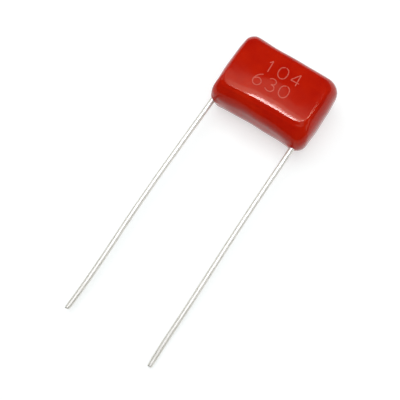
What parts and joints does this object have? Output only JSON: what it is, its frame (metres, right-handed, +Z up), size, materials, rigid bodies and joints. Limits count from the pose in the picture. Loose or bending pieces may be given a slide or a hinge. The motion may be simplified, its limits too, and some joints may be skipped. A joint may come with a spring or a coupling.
{
  "type": "polyester film capacitor",
  "caption": "Radial-lead polyester film capacitor: a flat red epoxy-dipped block on two long tinned wire leads, lying on its broad face.",
  "frame": {"origin": "on the underside flat, midway between the leads and in the middle of the winding", "axes": "+X from the left lead to the right one, +Y away from the leads, +Z up through the thickness"},
  "size_m": [0.0117, 0.0349, 0.0058],
  "materials": {
    "red_epoxy": "glossy dipped and cured epoxy",
    "metallised_film": "smooth metallised film",
    "plain_film": "clear smooth film",
    "sprayed_zinc": "rough sprayed metal",
    "tinned_wire": "bright drawn tin"
  },
  "bodies": {
    "root": {"epoxy_coat": "red_epoxy", "film_winding": "metallised_film", "outer_wrap": "plain_film", "end_spray_left": "sprayed_zinc", "end_spray_right": "sprayed_zinc", "lead_left": "tinned_wire", "lead_right": "tinned_wire"}
  },
  "joints": []
}
